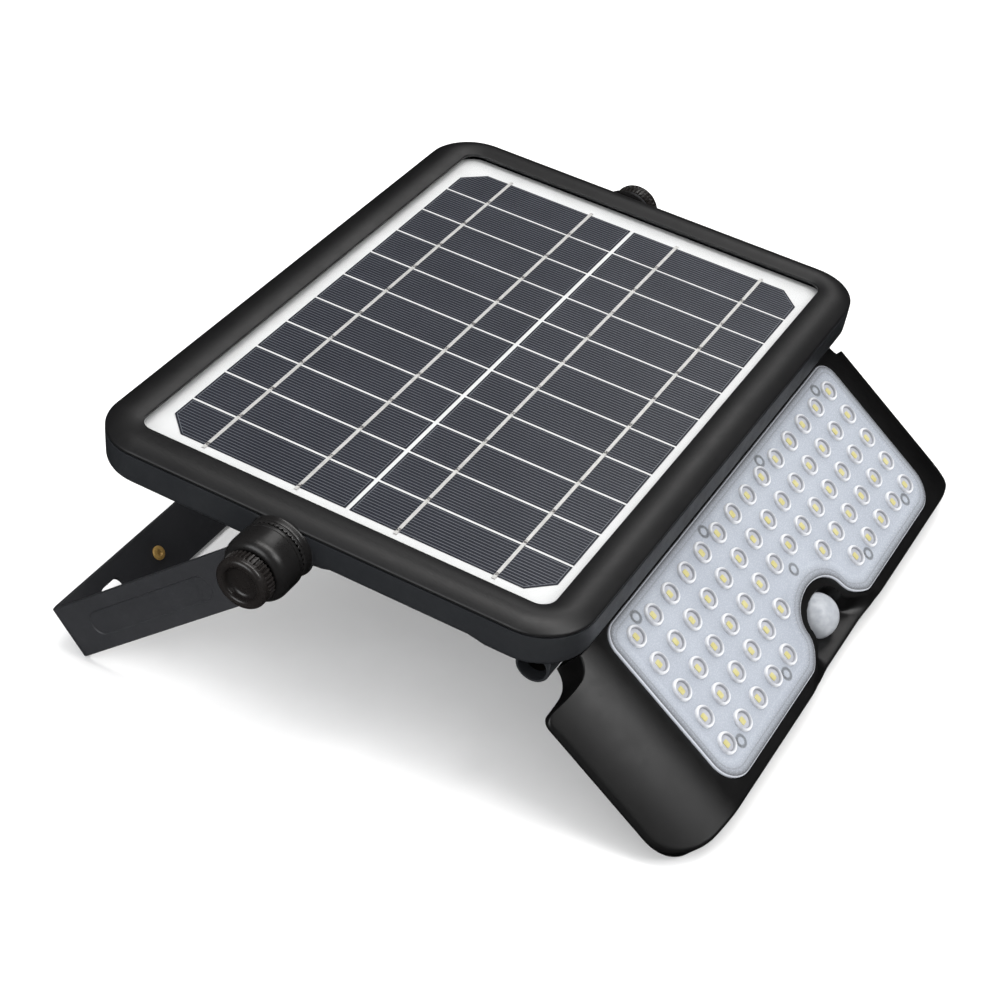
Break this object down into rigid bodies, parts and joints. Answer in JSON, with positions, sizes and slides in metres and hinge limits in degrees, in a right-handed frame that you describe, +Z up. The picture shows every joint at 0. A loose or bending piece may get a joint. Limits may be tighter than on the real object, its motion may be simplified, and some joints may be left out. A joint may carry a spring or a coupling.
{
  "type": "solar flood light",
  "caption": "Solar flood light: a framed solar panel housing on a U wall bracket with clamping knobs, and a hinged lamp head with lens domes and a motion sensor.",
  "frame": {"origin": "bottom centre of the bounding box, on the surface that the lamp stands on with its bracket edge and its lamp head edge", "axes": "+Z up from the surface; +X along the hinge and the bracket pivots, towards the right knob; -Y towards the lamp head, +Y towards the wall bracket"},
  "size_m": [0.3088, 0.2622, 0.0971],
  "materials": {
    "black_plastic": "fine-grained black plastic",
    "head_plastic": "fine-grained black plastic, slightly coarser",
    "rubber_black": "matt rubber",
    "powder_coat": "fine powder coat, dark grey",
    "clear_sheet": "clear smooth sheet",
    "white_sheet": "matt white backsheet",
    "solar_cell": "dark blue-black silicon with fine silver lines",
    "cell_wrap": "shrink wrap",
    "grey_plastic": "plain moulded",
    "board_green": "solder mask",
    "steel": "zinc plated",
    "brass": "bare brass",
    "frosted": "frosted translucent white",
    "board_white": "white solder mask",
    "lens_clear": "clear moulded polycarbonate"
  },
  "bodies": {
    "panel_housing": {"back_housing": "black_plastic", "front_bezel": "black_plastic", "bezel_gasket": "rubber_black", "panel_glass": "clear_sheet", "solar_backsheet": "white_sheet", "cell_string_left": "solar_cell", "cell_string_right": "solar_cell", "battery_cell_1": "cell_wrap", "battery_cell_2": "cell_wrap", "battery_cell_3": "cell_wrap", "battery_tray": "grey_plastic", "charge_board": "board_green", "switch_body": "grey_plastic", "battery_cover": "black_plastic", "cover_screw_1": "steel", "housing_screw_1": "steel", "cover_screw_2": "steel", "housing_screw_2": "steel", "cover_screw_3": "steel", "housing_screw_3": "steel", "cover_screw_4": "steel", "housing_screw_4": "steel", "pivot_insert_left": "brass", "detent_ring_left": "black_plastic", "hinge_pin_left": "steel", "pivot_insert_right": "brass", "detent_ring_right": "black_plastic", "hinge_pin_right": "steel"},
    "button": {"power_button": "rubber_black"},
    "bracket": {"mounting_bracket": "powder_coat", "pivot_cup_left": "black_plastic", "pivot_cup_right": "black_plastic", "web_insert_left": "brass", "web_insert_right": "brass"},
    "knob_left_unit": {"knob_left": "black_plastic", "knob_stud_left": "steel"},
    "knob_right_unit": {"knob_right": "black_plastic", "knob_stud_right": "steel"},
    "lamp_head": {"head_shell": "head_plastic", "lens_cover": "lens_clear", "lens_gasket": "rubber_black", "led_board": "board_white", "pir_dome": "frosted", "pir_sensor": "steel", "head_back_cover": "head_plastic", "board_screw_1": "steel", "board_screw_2": "steel", "board_screw_3": "steel", "board_screw_4": "steel", "board_screw_5": "steel", "board_screw_6": "steel", "board_screw_7": "steel", "board_screw_8": "steel", "board_screw_9": "steel", "head_screw_1": "steel", "head_screw_2": "steel", "head_screw_3": "steel", "head_screw_4": "steel"}
  },
  "joints": [
    {"name": "bracket_tilt", "type": "hinge", "parent": "panel_housing", "child": "bracket", "pos_m": [0.006, 0.03662, 0.07744], "axis": [1, 0, 0], "range_deg": [-85, 100]},
    {"name": "head_tilt", "type": "hinge", "parent": "panel_housing", "child": "lamp_head", "pos_m": [0.006, -0.05947, 0.06199], "axis": [1, 0, 0], "range_deg": [-10, 55]},
    {"name": "knob_left_turn", "type": "hinge", "parent": "bracket", "child": "knob_left_unit", "pos_m": [-0.149, 0.03662, 0.07744], "axis": [-1, 0, 0], "continuous": true},
    {"name": "knob_right_turn", "type": "hinge", "parent": "bracket", "child": "knob_right_unit", "pos_m": [0.15, 0.03662, 0.07744], "axis": [1, 0, 0], "continuous": true},
    {"name": "button_press", "type": "slide", "parent": "panel_housing", "child": "button", "axis": [0, -0.0771, 0.997], "range_m": [0, 0.0012], "stiffness_N_per_m": 500}
  ]
}
